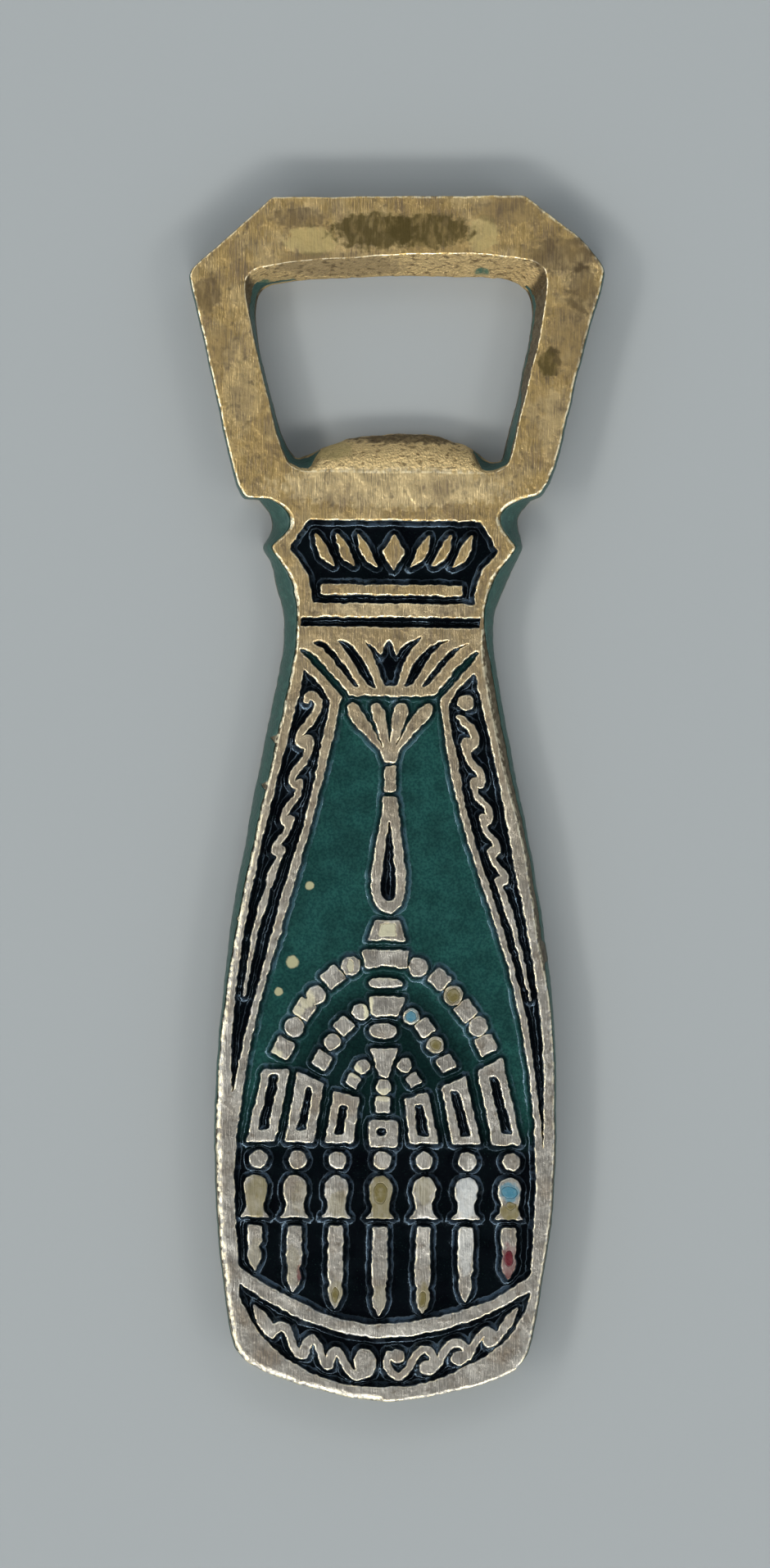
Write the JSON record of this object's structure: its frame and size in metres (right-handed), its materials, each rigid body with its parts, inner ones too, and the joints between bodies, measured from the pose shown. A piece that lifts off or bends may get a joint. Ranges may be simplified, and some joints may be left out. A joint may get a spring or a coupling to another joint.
{
  "type": "bottle opener",
  "caption": "Flat cast-brass bottle opener with a cap window in its head, a waisted neck and a handle decorated in relief with enamel-filled recesses.",
  "frame": {"origin": "on the flat back, under the middle of the overall box", "axes": "+Y along the part towards its head, +Z out of the decorated face, X across the width"},
  "size_m": [0.0468, 0.1344, 0.0045],
  "materials": {
    "brass": "worn, brushed lengthwise on the front, bare cast texture on the lip, light tarnish in patches",
    "side_paint": "semi-gloss enamel paint, brushed on thinly, chipped at the edges",
    "green_enamel": "glossy dark green enamel with a fine grain, running to blue-black at the lower end",
    "black_enamel": "glossy blue-black enamel, pooled, with a raised meniscus at the walls",
    "blue_enamel": "worn sky-blue enamel",
    "olive_enamel": "worn olive enamel",
    "red_enamel": "worn dark red enamel",
    "cream_enamel": "worn cream enamel"
  },
  "bodies": {
    "root": {"brass_casting": "brass", "side_coat": "side_paint", "window_coat_left": "side_paint", "window_coat_right": "side_paint", "blue_speck_bead": "blue_enamel", "blue_speck_cup": "blue_enamel", "cream_speck_bead": "cream_enamel", "cream_speck_foot": "cream_enamel", "enamel_arm_slot_1": "black_enamel", "enamel_arm_slot_2": "black_enamel", "enamel_arm_slot_3": "black_enamel", "enamel_arm_slot_4": "black_enamel", "enamel_arm_slot_5": "black_enamel", "enamel_arm_slot_6": "black_enamel", "enamel_cartouche": "black_enamel", "enamel_centre_slot": "black_enamel", "enamel_crescent": "black_enamel", "enamel_field": "green_enamel", "enamel_groove": "black_enamel", "enamel_left_panel": "black_enamel", "enamel_lotus_slot_centre": "black_enamel", "enamel_lotus_slot_inner_left": "black_enamel", "enamel_lotus_slot_inner_right": "black_enamel", "enamel_lotus_slot_outer_left": "black_enamel", "enamel_lotus_slot_outer_right": "black_enamel", "enamel_right_panel": "black_enamel", "enamel_teardrop_slot": "black_enamel", "olive_speck_bead_inner": "olive_enamel", "olive_speck_bead_outer": "olive_enamel", "olive_speck_cup_centre": "olive_enamel", "olive_speck_cup_right": "olive_enamel", "olive_speck_flame_left": "olive_enamel", "olive_speck_flame_right": "olive_enamel", "red_speck_candle": "red_enamel"}
  },
  "joints": []
}
